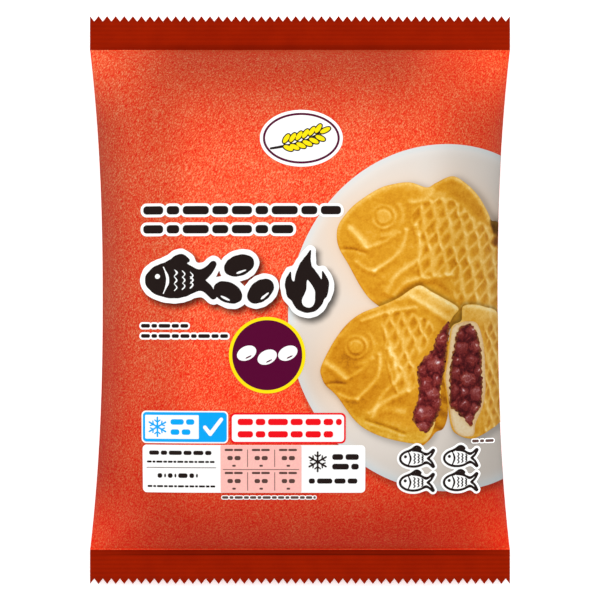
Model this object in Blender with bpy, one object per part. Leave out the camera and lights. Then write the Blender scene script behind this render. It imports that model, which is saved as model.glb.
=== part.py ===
"""A sealed pillow pack of frozen filled pastries, lying on its back with the print up.

+X runs across the pack, +Y towards its top seal, and +Z up out of the printed front.
The origin is on the table, under the middle of the pack.  All sizes are in metres.
"""
import math

import bmesh
import bpy

MM = 0.001

# The tube of film, laid flat
FLAT_WIDTH = 190 * MM           # across each end seal
PACK_LENGTH = 257 * MM          # over the tips of both cut edges

# The filled body, measured from the plane of the two end seals
WAIST_WIDTH = 178.6 * MM        # where the filling pulls the sides in most
WAIST_POWER = 2.3               # how late the sides flare out towards the seals
FRONT_HEIGHT = 25 * MM          # the printed face stands this far above the plane
BACK_DEPTH = 16.5 * MM          # the back would hang this far below it in the air
REST_DEPTH = 15 * MM            # and the table, which flattens the back, lies here
ROUNDING = 0.7                  # how round the edge of a bulge is, on both faces
FRONT_POWERS = (4.0, 3.2)       # how flat the front is on top, across and along
BACK_POWERS = (5.0, 4.0)        # and the back, which the table makes flatter

# An end seal: two films pressed into one ribbed strip with a zigzag cut edge
SEAL_LENGTH = 15.4 * MM
SEAL_THICKNESS = 0.8 * MM
RIB_COUNT = 6
RIB_PITCH = 1.95 * MM
RIB_HEIGHT = 0.25 * MM
RIB_START = 0.8 * MM            # from the inner edge of the seal to the first rib
TOOTH_COUNT = 49
TOOTH_DEPTH = 2.5 * MM

# The seam that closes the tube, folded flat against the middle of the back
FIN_WIDTH = 12 * MM
FIN_THICKNESS = 0.6 * MM
FIN_SLOPE = 0.4 * MM            # the width of the step down at each side of the fin

# How finely the body is divided
COLUMNS = 44
ROWS = 24

BODY_LENGTH = PACK_LENGTH - 2 * SEAL_LENGTH
SEAL_PLANE = REST_DEPTH + SEAL_THICKNESS / 2

PRINTED_FILM = ("printed_film", (0.82, 0.09, 0.035, 1.0), 0.38)


def half_width(along):
    """Half the pack's width, where along runs from -1 to 1 between the end seals."""
    flare = abs(along) ** WAIST_POWER
    return (WAIST_WIDTH + (FLAT_WIDTH - WAIST_WIDTH) * flare) / 2


def bulge(across, along, powers):
    """The height of a filled face, from 0 at its edges to 1 in the middle."""
    rise_across = 1 - abs(across) ** powers[0]
    rise_along = 1 - abs(along) ** powers[1]
    return (max(rise_across, 0) * max(rise_along, 0)) ** ROUNDING


def front_point(across, along):
    x = across * half_width(along)
    y = along * BODY_LENGTH / 2
    z = SEAL_PLANE + SEAL_THICKNESS / 2 + FRONT_HEIGHT * bulge(across, along, FRONT_POWERS)
    return (x, y, z)


def back_point(x, along, on_fin):
    y = along * BODY_LENGTH / 2
    depth = BACK_DEPTH * bulge(x / half_width(along), along, BACK_POWERS)
    if on_fin and abs(along) < 1:
        depth += FIN_THICKNESS
    z = SEAL_PLANE - SEAL_THICKNESS / 2 - depth
    return (x, y, max(z, 0.0))


def back_columns(along):
    """Pairs of x and whether it is on the fin, from the left edge to the right one."""
    edge = half_width(along)
    reach = FIN_WIDTH / 2 + FIN_SLOPE
    sides = COLUMNS // 2
    side = []
    for step in range(sides + 1):
        side.append(reach + (edge - reach) * math.sin(math.pi / 2 * step / sides))
    left = [(-x, False) for x in reversed(side)]
    right = [(x, False) for x in side]
    return left + [(-FIN_WIDTH / 2, True), (FIN_WIDTH / 2, True)] + right


def body_rows(face):
    """The rows of the filled body, from the bottom seal to the top one."""
    rows = []
    for row in range(ROWS + 1):
        along = math.sin(math.pi / 2 * (2 * row / ROWS - 1))
        if face == "front":
            turns = [math.pi * column / COLUMNS for column in range(COLUMNS + 1)]
            rows.append([front_point(-math.cos(turn), along) for turn in turns])
        else:
            rows.append([back_point(x, along, on_fin) for x, on_fin in back_columns(along)])
    return rows


def seal_rows(face, end):
    """The rows of an end seal, from the body out to the cut edge; end is -1 or 1."""
    offset = SEAL_THICKNESS / 2 if face == "front" else -SEAL_THICKNESS / 2
    edge = FLAT_WIDTH / 2
    rows = []
    for crease in range(2 * RIB_COUNT + 1):
        y = end * (BODY_LENGTH / 2 + RIB_START + crease * RIB_PITCH / 2)
        z = SEAL_PLANE + offset + RIB_HEIGHT * (crease % 2)
        rows.append([(-edge, y, z), (edge, y, z)])
    teeth = []
    for corner in range(2 * TOOTH_COUNT + 1):
        x = -edge + FLAT_WIDTH * corner / (2 * TOOTH_COUNT)
        y = end * (PACK_LENGTH / 2 - TOOTH_DEPTH * (corner % 2))
        teeth.append((x, y, SEAL_PLANE + offset))
    rows.append(teeth)
    return rows


def face_rows(face):
    """Every row of one face of the pack, from the bottom cut edge to the top one."""
    bottom = seal_rows(face, -1)
    return bottom[::-1] + body_rows(face) + seal_rows(face, 1)


def join_rows(mesh, near, far):
    """Fill between two rows: with quads if they match, else with one flat face."""
    if len(near) != len(far):
        mesh.faces.new(near + far[::-1])
        return
    for i in range(len(near) - 1):
        mesh.faces.new((near[i], near[i + 1], far[i + 1], far[i]))


def join_faces(mesh, front, back):
    """Close the gap between the front and the back, at the sides and both cut edges."""
    for row in range(len(front) - 1):
        for side in (0, -1):
            mesh.faces.new((front[row][side], front[row + 1][side],
                            back[row + 1][side], back[row][side]))
    for end in (0, -1):
        join_rows(mesh, front[end], back[end])


def film_material():
    name, colour, roughness = PRINTED_FILM
    material = bpy.data.materials.new(name)
    material.use_nodes = True
    shader = material.node_tree.nodes["Principled BSDF"]
    shader.inputs["Base Color"].default_value = colour
    shader.inputs["Roughness"].default_value = roughness
    shader.inputs["Metallic"].default_value = 0.0
    return material


def build_pouch():
    mesh = bmesh.new()
    front = [[mesh.verts.new(point) for point in row] for row in face_rows("front")]
    back = [[mesh.verts.new(point) for point in row] for row in face_rows("back")]
    for rows in (front, back):
        for near, far in zip(rows, rows[1:]):
            join_rows(mesh, near, far)
    join_faces(mesh, front, back)
    bmesh.ops.recalc_face_normals(mesh, faces=mesh.faces)

    data = bpy.data.meshes.new("pouch")
    mesh.to_mesh(data)
    mesh.free()
    data.shade_smooth()
    data.set_sharp_from_angle(angle=math.radians(35))
    pouch = bpy.data.objects.new("pouch", data)
    pouch.data.materials.append(film_material())
    bpy.context.collection.objects.link(pouch)


def main():
    for old in list(bpy.data.objects):
        bpy.data.objects.remove(old, do_unlink=True)
    build_pouch()


main()
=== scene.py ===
"""The looks of a sealed, printed pillow pack of frozen pastries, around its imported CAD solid.

The pack lies on its back: +X runs across it, +Y towards its top seal, +Z out of its print.
"""

import cmath
import functools
import math

import bpy
import numpy as np
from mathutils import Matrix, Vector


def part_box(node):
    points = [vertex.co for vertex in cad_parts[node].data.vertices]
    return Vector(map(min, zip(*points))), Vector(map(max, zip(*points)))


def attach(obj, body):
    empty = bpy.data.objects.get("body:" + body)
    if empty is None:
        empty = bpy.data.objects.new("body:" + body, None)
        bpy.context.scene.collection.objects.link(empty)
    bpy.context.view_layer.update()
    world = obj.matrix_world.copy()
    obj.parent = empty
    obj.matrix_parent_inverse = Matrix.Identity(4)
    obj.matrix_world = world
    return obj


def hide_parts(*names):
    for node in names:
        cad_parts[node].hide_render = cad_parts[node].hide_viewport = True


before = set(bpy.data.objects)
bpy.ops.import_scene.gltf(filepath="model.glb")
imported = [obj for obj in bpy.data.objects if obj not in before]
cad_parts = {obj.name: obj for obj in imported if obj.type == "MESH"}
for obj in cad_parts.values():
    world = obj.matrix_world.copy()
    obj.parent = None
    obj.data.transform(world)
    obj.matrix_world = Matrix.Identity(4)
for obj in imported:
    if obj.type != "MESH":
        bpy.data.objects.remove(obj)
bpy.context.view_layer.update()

MM = 0.001
LOW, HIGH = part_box("pouch")

# The film and the filled body, as in the CAD solid
FLAT_HALF = (HIGH.x - LOW.x) / 2
PACK_HALF = (HIGH.y - LOW.y) / 2
WAIST_HALF = 0.94 * FLAT_HALF
WAIST_POWER = 2.3
SEAL_LENGTH = 15.4 * MM
BODY_HALF = PACK_HALF - SEAL_LENGTH
SEAL_PLANE = 15.4 * MM
FRONT_HEIGHT = HIGH.z - SEAL_PLANE - 0.4 * MM
BACK_DEPTH = 16.5 * MM
ROUNDING = 0.7
FRONT_POWERS = (4.0, 3.2)
BACK_POWERS = (5.0, 4.0)

# The end seals
SEAL_HALF_THICKNESS = 0.25 * MM
SEAL_ROWS = 64
RIB_COUNT = 6
RIB_PITCH = 1.95 * MM
RIB_HEIGHT = 0.22 * MM
RIB_START = 0.8 * MM
TOOTH_COUNT = 49
TOOTH_DEPTH = 2.5 * MM
# The width of the painted shaded strip along each seal's inner edge, next to the body
SEAL_SHADE_STRIP = 2.1 * MM

# The back, where the film rests on its folded seam
BACK_REST = 0.75 * MM
FIN_HALF = 6 * MM
FIN_THICKNESS = 0.45 * MM
FIN_RIB = 0.06 * MM

# The print is drawn in millimetres from the middle of the pack, as it is seen from far above
PRINT_SCALE = 0.985 * MM
INK_LAYER = 0.05 * MM
DENT_DEPTH = 0.02 * MM

# Painted shade: how much darker the film is drawn towards its sides and ends, and how far in that
# reaches; and the painted lift where it slopes towards its ends
SIDE_SHADE = 0.42
SIDE_SOFTNESS = 0.13
SIDE_FADE = 38 * MM
TOP_SHADE = 0.545
TOP_REACH = 29.5 * MM
BOTTOM_SHADE = 0.525
BOTTOM_REACH = 35.5 * MM
PAINTED_END_LIFT = 0.93

# How much brighter a sign is drawn where the film slopes
SIGN_LIFT = 1.3


# ---------------------------------------------------------------- surfaces of the pack

def half_width(along):
    flare = np.abs(along) ** WAIST_POWER
    return WAIST_HALF + (FLAT_HALF - WAIST_HALF) * flare


def bulge(across, along, powers):
    rise = (1 - np.abs(across) ** powers[0]) * (1 - np.abs(along) ** powers[1])
    return np.clip(rise, 0, None) ** ROUNDING


def smooth_step(value, low, high):
    share = np.clip((value - low) / (high - low), 0, 1)
    return share * share * (3 - 2 * share)


def ridge(distance, width):
    """A soft ridge, 1 on its line and fading over the width."""
    return np.exp(-(distance / width) ** 2)


def flutter(x, y):
    """The slow wave of the two thin ends, which dies out in the filled body."""
    towards_end = smooth_step(np.abs(y), BODY_HALF - 30 * MM, PACK_HALF)
    wave = np.sin(x / (17 * MM) + np.sign(y) * 0.9) + 0.5 * np.sin(x / (7.3 * MM) + 2.1)
    return 0.35 * MM * towards_end * wave


def pleats(x, y):
    """Fine gathers that run from the end seals into the body and fade out there."""
    inside = np.clip(BODY_HALF - np.abs(y), 0, None)
    fade = np.exp(-inside / (9 * MM)) * smooth_step(inside, 0, 2.5 * MM)
    side = np.where(y > 0, 0.0, 1.7)
    wave = np.sin(x / (2.3 * MM) + 3 * np.sin(x / (19 * MM) + side))
    slow = 0.5 + 0.5 * np.sin(x / (11 * MM) + 2 * side)
    return 0.16 * MM * fade * wave * slow


def creases(x, y):
    """Shallow folds that fan out from the four corners of the body and fade out inwards."""
    away_x = FLAT_HALF + 4 * MM - np.abs(x)
    away_y = BODY_HALF + 4 * MM - np.abs(y)
    reach = np.hypot(away_x, away_y)
    angle = np.arctan2(away_y, away_x)
    corner = np.where(x > 0, 0.0, 0.8) + np.where(y > 0, 0.0, 1.7)
    fold = np.sin(9 * angle + corner) + 0.5 * np.sin(17 * angle + 2 * corner)
    border = np.minimum(BODY_HALF - np.abs(y), WAIST_HALF - np.abs(x))
    return 0.3 * MM * fold * np.exp(-reach / (28 * MM)) * smooth_step(border, 0, 9 * MM)


def surface(side, turn, along):
    """Points of the front (side 1) or back (side -1) film.

    turn and along run from -1 to 1 across and along the body; turn is eased towards the
    sides, where the film rolls over.
    """
    across = np.sin(np.pi / 2 * turn)
    x = across * half_width(along)
    y = along * BODY_HALF
    lip = SEAL_HALF_THICKNESS * (1 - np.abs(across) ** 12)
    if side > 0:
        rise = lip + FRONT_HEIGHT * bulge(across, along, FRONT_POWERS)
        z = SEAL_PLANE + rise + flutter(x, y) + pleats(x, y) + creases(x, y)
    else:
        drop = lip + BACK_DEPTH * bulge(across, along, BACK_POWERS)
        hang = SEAL_PLANE - drop + flutter(x, y) + pleats(x, y) + creases(x, y) - BACK_REST
        softness = 0.8 * MM
        z = BACK_REST + 0.5 * (hang + np.sqrt(hang ** 2 + softness ** 2))
    return np.stack([x, y, z], axis=-1)


def surface_normal(side, turn, along):
    step = 1e-4
    d_turn = surface(side, turn + step, along) - surface(side, turn - step, along)
    d_along = surface(side, turn, along + step) - surface(side, turn, along - step)
    normal = np.cross(d_turn, d_along) * side
    length = np.linalg.norm(normal, axis=-1, keepdims=True)
    return normal / np.maximum(length, 1e-20)


def sign_tone(side, turn, along):
    """The painted lift that keeps a printed sign as bright on the film's slopes as on its top."""
    upright = np.abs(surface_normal(side, turn, along)[..., 2])
    return 1 + SIGN_LIFT * np.clip(1 - upright, 0, 0.3)


def edge_tone(side, turn, along):
    """Painted shade of the film where it turns away, as a factor of its colour: darker towards its
    sides and ends, with a painted lift where it slopes towards its ends, and 0.9 all over the back.
    """
    if side < 0:
        return np.full(np.shape(turn), 0.9)
    across = np.sin(np.pi / 2 * turn)
    from_top = (1 - along) * BODY_HALF
    from_bottom = (1 + along) * BODY_HALF
    turn = np.clip(turn, -0.97, 0.97)
    flat = surface_normal(side, turn, 0 * along)[..., 2]
    # Painted light: brighter where the film slopes towards its ends
    lift = 1 + PAINTED_END_LIFT * np.clip(flat - surface_normal(side, turn, along)[..., 2], 0, 0.6)
    rolled = 1 - np.exp((np.clip(flat, 0, 1) - 1) / SIDE_SOFTNESS)
    sides = SIDE_SHADE * rolled * smooth_step(np.minimum(from_top, from_bottom), 0, SIDE_FADE)
    top = TOP_SHADE * np.exp(-(from_top / TOP_REACH) ** 2)
    top = top * smooth_step(1 - np.abs(across + 0.04), 0, 0.55)
    bottom = BOTTOM_SHADE * np.exp(-(from_bottom / BOTTOM_REACH) ** 2)
    bottom = bottom * smooth_step(1 - np.abs(across), -0.22, 0.53)
    return (1 - sides) * (1 - top) * (1 - bottom) * lift


# ---------------------------------------------------------------- meshes

def new_object(name, points, faces, material):
    data = bpy.data.meshes.new(name)
    data.from_pydata([tuple(point) for point in points], [], faces)
    data.validate()
    data.materials.append(material)
    data.shade_smooth()
    piece = bpy.data.objects.new(name, data)
    bpy.context.scene.collection.objects.link(piece)
    return piece


def finish_piece(piece, slot):
    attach(piece, "root")
    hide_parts("pouch")
    return piece


def make_piece(name, points, faces, tint, normals=None, **values):
    """A piece in one of the inks, with the named values stored on its points."""
    material, slot = INKS[tint]
    piece = new_object(name, points, faces, material)
    if normals is not None:
        piece.data.normals_split_custom_set_from_vertices(normals.tolist())
    for key, numbers in values.items():
        attribute = piece.data.attributes.new(key, "FLOAT", "POINT")
        attribute.data.foreach_set("value", np.full(len(points), numbers, np.float32))
    return finish_piece(piece, slot)


def grid_faces(rows, columns):
    """Quads of a grid of points, row after row, as an array."""
    first = (np.arange(rows - 1)[:, None] * columns + np.arange(columns - 1)).ravel()
    return np.stack([first, first + 1, first + columns + 1, first + columns], axis=1)


# ---------------------------------------------------------------- shapes of the print
#
# A shape is a field: its distance in millimetres from a point of the print, negative inside.

def disc(x, y, cx, cy, radius):
    return np.hypot(x - cx, y - cy) - radius


def ellipse(x, y, cx, cy, half_x, half_y, angle=0.0):
    cos, sin = math.cos(angle), math.sin(angle)
    across = (x - cx) * cos + (y - cy) * sin
    up = (y - cy) * cos - (x - cx) * sin
    near = np.hypot(across / half_x, up / half_y)
    steep = np.hypot(across / half_x ** 2, up / half_y ** 2)
    return near * (near - 1) / np.maximum(steep, 1e-6)


def box(x_range, y_range, radius=0.0):
    """The field of an upright rectangle with rounded corners."""
    def field(x, y):
        over_x = np.abs(x - sum(x_range) / 2) - (x_range[1] - x_range[0]) / 2 + radius
        over_y = np.abs(y - sum(y_range) / 2) - (y_range[1] - y_range[0]) / 2 + radius
        outside = np.hypot(np.maximum(over_x, 0), np.maximum(over_y, 0))
        return outside + np.minimum(np.maximum(over_x, over_y), 0) - radius

    return field


def smooth_path(points, steps=7, closed=False):
    """Points along a smooth curve through the given ones."""
    points = np.asarray(points, float)
    if closed:
        padded = np.concatenate([points[-1:], points, points[:2]])
    else:
        padded = np.concatenate([points[:1], points, points[-1:]])
    path = []
    for a, b, c, d in zip(padded, padded[1:], padded[2:], padded[3:]):
        for share in np.arange(steps) / steps:
            bend = (2 * a - 5 * b + 4 * c - d) * share ** 2 + (3 * b - a - 3 * c + d) * share ** 3
            path.append(b + ((c - a) * share + bend) / 2)
    if not closed:
        path.append(points[-1])
    return np.array(path)


def legs(x, y, path):
    """The distance to each leg of a path, and how far along that leg the nearest point is."""
    for (ax, ay), (bx, by) in zip(path, path[1:]):
        length = max((bx - ax) ** 2 + (by - ay) ** 2, 1e-9)
        share = np.clip(((x - ax) * (bx - ax) + (y - ay) * (by - ay)) / length, 0, 1)
        yield np.hypot(x - ax - share * (bx - ax), y - ay - share * (by - ay)), share


def stroke(x, y, points, steps=7):
    """A brush stroke through points (x, y, radius)."""
    path = smooth_path(points, steps)
    radius = path[:, 2]
    return union(*[gap - start - share * (end - start) for (gap, share), start, end
                   in zip(legs(x, y, path[:, :2]), radius, radius[1:])])


def blob(x, y, outline, steps=6):
    """The inside of a smooth closed curve through the outline's points."""
    path = smooth_path(outline, steps, closed=True)
    path = np.concatenate([path, path[:1]])
    within = np.zeros(np.shape(x), bool)
    for (ax, ay), (bx, by) in zip(path, path[1:]):
        if ay != by:
            crosses = (ay > y) != (by > y)
            within ^= crosses & (x < ax + (y - ay) / (by - ay) * (bx - ax))
    border = union(*[gap for gap, _ in legs(x, y, path)])
    return np.where(within, -border, border)


def union(*fields):
    return functools.reduce(np.minimum, fields)


def melt(first, second, reach):
    """A union whose inner corner is filled in over that reach."""
    share = np.clip(0.5 + 0.5 * (second - first) / reach, 0, 1)
    return second * (1 - share) + first * share - reach * share * (1 - share)


def cut(field, *holes):
    return np.maximum(field, -union(*holes))


def words(x, y, left, right, middle, height, rhythm=(2.4, 1.5, 3.1, 1.9)):
    """A line of rounded bars, each as long as a word, in the place of lettering."""
    gap = 0.42 * height
    row = (middle - height / 2, middle + height / 2)
    bars = []
    start = left
    while start <= right - 0.6 * height:
        end = min(start + rhythm[len(bars) % len(rhythm)] * height, right)
        bars.append(box((start, end), row, gap)(x, y))
        start = end + gap
    return union(*bars)


def text(*lines):
    """The field of some lines of bars: left, right, middle, height and, if given, rhythm."""
    return lambda x, y: union(*[words(x, y, *line) for line in lines])


def together(*fields):
    """One field of several."""
    return lambda x, y: union(*[field(x, y) for field in fields])


def cut_out(values, turns, alongs):
    """The part of a grid where the values are negative: its points and its faces.

    The outline runs between the grid's points, where the value is zero.
    """
    negative = values < 0
    count = int(negative.sum())
    corner = np.full(values.shape, -1)
    corner[negative] = np.arange(count)
    points = [np.stack(np.meshgrid(turns, alongs), -1)[negative]]
    crossings = []
    for near, far, right, up in ((values[:, :-1], values[:, 1:], 1, 0),
                                 (values[:-1], values[1:], 0, 1)):
        crossed = (near < 0) != (far < 0)
        share = (near / np.where(crossed, near - far, 1))[crossed]
        row, column = np.nonzero(crossed)
        points.append(np.stack([turns[column] + share * (turns[column + right] - turns[column]),
                                alongs[row] + share * (alongs[row + up] - alongs[row])], -1))
        index = np.full(crossed.shape, -1)
        index[crossed] = count + np.arange(len(share))
        count += len(share)
        crossings.append(index)
    across, upward = crossings
    corners = (corner[:-1, :-1], corner[:-1, 1:], corner[1:, 1:], corner[1:, :-1])
    sides = (across[:-1], upward[:, 1:], across[1:], upward[:, :-1])
    kind = sum((inner >= 0) << bit for bit, inner in enumerate(corners))
    faces = []
    for case in range(1, 16):
        ring = []
        for bit in range(4):
            here = case >> bit & 1
            if here:
                ring.append(corners[bit])
            if here != case >> (bit + 1) % 4 & 1:
                ring.append(sides[bit])
        faces += np.stack(ring, -1)[kind == case].tolist()
    return np.concatenate(points), faces


def print_grid(region, step):
    """Grid lines of the film that cover a region (left, right, bottom, top) of the print."""
    left, right, bottom, top = (edge * PRINT_SCALE for edge in region)
    reach = np.clip(np.array([left, right]) / WAIST_HALF, -1, 1)
    low, high = np.clip(np.arcsin(reach) * 2 / np.pi, -0.994, 0.994)
    spacing = step * PRINT_SCALE / (np.pi / 2 * WAIST_HALF)
    turns = np.linspace(low, high, max(int((high - low) / spacing), 4))
    alongs = np.linspace(bottom, top, max(int((top - bottom) / (step * PRINT_SCALE)), 4))
    return turns, np.clip(alongs / BODY_HALF, -0.998, 0.998)


def print_place(turn, along):
    """Where on the print, in millimetres, a point of the film is."""
    x = np.sin(np.pi / 2 * turn) * half_width(along)
    return x / PRINT_SCALE, along * BODY_HALF / PRINT_SCALE


def ink(name, field, region, layer, tint, step=0.4, shadow=None, values=None, side=1):
    """A thin layer of print on the film, in the shape of the field.

    Without a shadow of its own it is a sign, which gets a painted lift to keep its colour where the
    film darkens; with one, it takes the film's painted edge shade times that factor.
    """
    turns, alongs = print_grid(region, step)
    turn, along = np.meshgrid(turns, alongs)
    places, faces = cut_out(field(*print_place(turn, along)), turns, alongs)
    turn, along = places.T
    normals = surface_normal(side, turn, along)
    points = surface(side, turn, along) + normals * layer * INK_LAYER
    if side < 0:
        faces = [face[::-1] for face in faces]
    x, y = print_place(turn, along)
    tone = edge_tone(side, turn, along) * shadow(x, y) if shadow else sign_tone(side, turn, along)
    make_piece(name, points, faces, tint, normals, tone=tone, **(values(x, y) if values else {}))


# ---------------------------------------------------------------- materials

def colour(red, green, blue):
    """A linear colour from its usual 0 to 255 values."""
    linear = []
    for value in (red, green, blue):
        share = value / 255
        linear.append(share / 12.92 if share <= 0.04045 else ((share + 0.055) / 1.055) ** 2.4)
    return (*linear, 1.0)


class Nodes:
    """A material's node tree, built with short calls.

    A value is a number, a tuple or another node's socket.
    """

    def __init__(self, name, specular=0.24):
        self.material = bpy.data.materials.new(name)
        self.material.use_nodes = True
        self.tree = self.material.node_tree
        self.shader({"Specular IOR Level": specular})

    def feed(self, node, inputs):
        for key, value in inputs.items():
            if isinstance(value, bpy.types.NodeSocket):
                self.tree.links.new(value, node.inputs[key])
            else:
                node.inputs[key].default_value = value

    def shader(self, inputs):
        self.feed(self.tree.nodes["Principled BSDF"], inputs)

    def add(self, kind, inputs, **settings):
        """The first output of a new node with these inputs and settings."""
        node = self.tree.nodes.new(kind)
        for key, value in settings.items():
            setattr(node, key, value)
        self.feed(node, inputs)
        return node.outputs[0]

    def stored(self, name):
        """A number stored on the mesh's points."""
        node = self.tree.nodes.new("ShaderNodeAttribute")
        node.attribute_name = name
        return node.outputs["Fac"]

    def place(self, angle=0.0, stretch=(1, 1, 1)):
        """The point in the pack's own metres, turned in the print's plane and stretched."""
        where = self.tree.nodes.new("ShaderNodeTexCoord").outputs["Object"]
        turn = self.add("ShaderNodeMapping", {"Vector": where, "Rotation": (0, 0, angle)})
        return self.add("ShaderNodeVectorMath", {0: turn, 1: stretch}, operation="MULTIPLY")

    def noise(self, size, detail=2.0, rough=0.5, distortion=0.0, angle=0.0, ratio=1.0):
        """Noise with grains of that size; ratio stretches them along the angle."""
        across = 1 / size
        where = self.place(angle, (across / ratio, across, across))
        return self.add("ShaderNodeTexNoise", {"Vector": where, "Scale": 1.0, "Detail": detail,
                                               "Roughness": rough, "Distortion": distortion})

    def total(self, start, *shares):
        """The start plus each share, which is a weight and a value."""
        for weight, value in shares:
            start = self.add("ShaderNodeMath", {0: value, 1: weight, 2: start},
                             operation="MULTIPLY_ADD")
        return start

    def ramp(self, value, *stops):
        """A colour ramp; a stop is a place from 0 to 1 and its red, green and blue."""
        node = self.tree.nodes.new("ShaderNodeValToRGB")
        elements = node.color_ramp.elements
        while len(elements) < len(stops):
            elements.new(0.5)
        for element, (place, *tint) in zip(elements, stops):
            element.position = place
            element.color = colour(*tint)
        self.feed(node, {"Fac": value})
        return node.outputs["Color"]

    def spread(self, value, low, high, first=0.0, last=1.0):
        """The first value up to low, the last from high on, and a straight run between."""
        return self.add("ShaderNodeMapRange", {"Value": value, "From Min": low, "From Max": high,
                                               "To Min": first, "To Max": last})

    def mix(self, share, first, second, blend="MIX"):
        node = self.tree.nodes.new("ShaderNodeMix")
        node.data_type = "RGBA"
        node.blend_type = blend
        self.feed(node, {0: share, 6: first, 7: second})
        return node.outputs[2]

    def times(self, first, second):
        return self.mix(1.0, first, second, "MULTIPLY")

    def finish(self, tint, gloss=(0.36, 0.5), dent=1.6 * MM, detail=3.0, strength=0.35):
        """The colour times the shading stored on the mesh, which is painted shade and light and
        printed shadows, on a satin, faintly dented face.
        """
        dents = {"Height": self.noise(dent, detail), "Strength": strength,
                 "Distance": DENT_DEPTH}
        self.shader({"Base Color": self.times(tint, self.stored("tone")),
                     "Roughness": self.spread(self.noise(6 * MM), 0.0, 1.0, *gloss),
                     "Normal": self.add("ShaderNodeBump", dents)})
        return self.material


def fibre_film(name, veil=0.0):
    """Vermilion film printed like a sheet of soft fibre paper, under a veil of white."""
    nodes = Nodes(name)
    grain = nodes.noise(0.54 * MM, rough=0.6, distortion=0.3, angle=-1.05, ratio=1.7)
    tint = nodes.ramp(nodes.total(-0.05, (1.0, grain), (0.1, nodes.noise(16 * MM))),
                      (0.33, 243, 16, 4), (0.45, 247, 66, 30), (0.55, 249, 101, 56),
                      (0.69, 250, 158, 114))
    for angle, size, ratio, low in ((-0.95, 0.5, 5.0, 0.6), (-0.35, 0.45, 4.5, 0.63),
                                    (0.6, 0.45, 4.0, 0.64)):
        fibre = nodes.noise(size * MM, distortion=0.9, angle=angle, ratio=ratio)
        share = nodes.spread(fibre, low, low + 0.14, 0.0, 0.6)
        tint = nodes.mix(share, tint, colour(255, 158, 118))
    split = nodes.tree.nodes.new("ShaderNodeSeparateXYZ")
    nodes.feed(split, {0: nodes.place()})
    for axis, start, end, deeper in (("Y", 0.0, -BODY_HALF, (1.0, 0.52, 0.4, 1.0)),
                                     ("X", 0.3 * FLAT_HALF, FLAT_HALF, (1.0, 0.74, 0.55, 1.0))):
        share = nodes.spread(split.outputs[axis], start, end)
        tint = nodes.mix(share, tint, nodes.times(tint, deeper))
    if veil:
        tint = nodes.mix(veil, tint, colour(250, 226, 220))
    return nodes.finish(tint)


def seal_film():
    """Brick red film, duller and more dented than the rest."""
    nodes = Nodes("seal_film", specular=0.05)
    tint = nodes.ramp(nodes.noise(9 * MM), (0.3, 147, 25, 0), (0.7, 155, 28, 0))
    return nodes.finish(tint, (0.42, 0.55), 1.1 * MM, 2.0, 0.6)


def flat_ink(name, *tint):
    return Nodes(name).finish(colour(*tint))


def crust_ink():
    """Golden crust: hollows brown, ridges pale, with a fine mottle."""
    nodes = Nodes("crust_ink")
    light = nodes.total(-0.47, (1.0, nodes.stored("light")),
                        (0.34, nodes.noise(7 * MM, distortion=0.6)),
                        (0.36, nodes.noise(2.2 * MM, detail=3.0, rough=0.65)),
                        (0.24, nodes.noise(0.8 * MM)))
    golden = nodes.ramp(light, (0.05, 150, 80, 4), (0.3, 204, 130, 12), (0.5, 224, 158, 34),
                        (0.68, 237, 182, 74), (0.85, 250, 208, 116), (1.0, 254, 230, 164))
    pale = nodes.ramp(light, (0.05, 160, 104, 10), (0.3, 206, 146, 14), (0.5, 226, 180, 60),
                      (0.72, 242, 212, 132), (1.0, 250, 234, 184))
    return nodes.finish(nodes.mix(nodes.stored("bake"), pale, golden))


def crumb_ink():
    """Cream crumb of the cut faces, browner next to the crust and the paste."""
    nodes = Nodes("crumb_ink")
    grain = nodes.noise(1.1 * MM, detail=3.0, rough=0.6)
    light = nodes.total(-0.25, (1.0, nodes.stored("light")), (0.5, grain))
    return nodes.finish(nodes.ramp(light, (0.05, 150, 78, 24), (0.3, 216, 164, 98),
                                   (0.6, 238, 206, 156), (0.95, 248, 232, 196)))


def paste_ink():
    """Red bean paste: dark gaps, wine-red skins, wet highlights and crumbs at its border."""
    nodes = Nodes("paste_ink")
    grain = nodes.noise(1.4 * MM, detail=3.0, rough=0.7, distortion=1.6)
    light = nodes.total(-0.43, (1.0, nodes.stored("light")), (0.9, grain))
    paste = nodes.ramp(light, (0.05, 44, 8, 14), (0.3, 98, 26, 30), (0.5, 132, 44, 42),
                       (0.68, 154, 74, 72), (0.84, 190, 132, 136), (1.0, 238, 214, 216))
    rusty = nodes.spread(nodes.noise(3.4 * MM), 0.5, 0.62, 0.0, 0.45)
    paste = nodes.mix(rusty, paste, nodes.times(paste, (1.25, 1.1, 0.75, 1.0)))
    crumbs = nodes.spread(nodes.noise(0.9 * MM), 0.4, 0.56)
    border = nodes.add("ShaderNodeMath", {0: nodes.stored("bake"), 1: crumbs},
                       operation="MULTIPLY")
    return nodes.finish(nodes.mix(border, paste, colour(178, 112, 44)))


def plate_ink():
    """White china that takes a warm glow from the pastries."""
    nodes = Nodes("plate_ink")
    china = nodes.ramp(nodes.stored("light"), (0.2, 237, 231, 224), (0.75, 236, 234, 230),
                       (1.0, 226, 232, 233))
    warm = nodes.mix(nodes.stored("bake"), china, colour(250, 222, 196))
    cloud = nodes.spread(nodes.noise(11 * MM), 0.0, 1.0, 0.0, 0.1)
    return nodes.finish(nodes.mix(cloud, warm, colour(214, 200, 190)))


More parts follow.
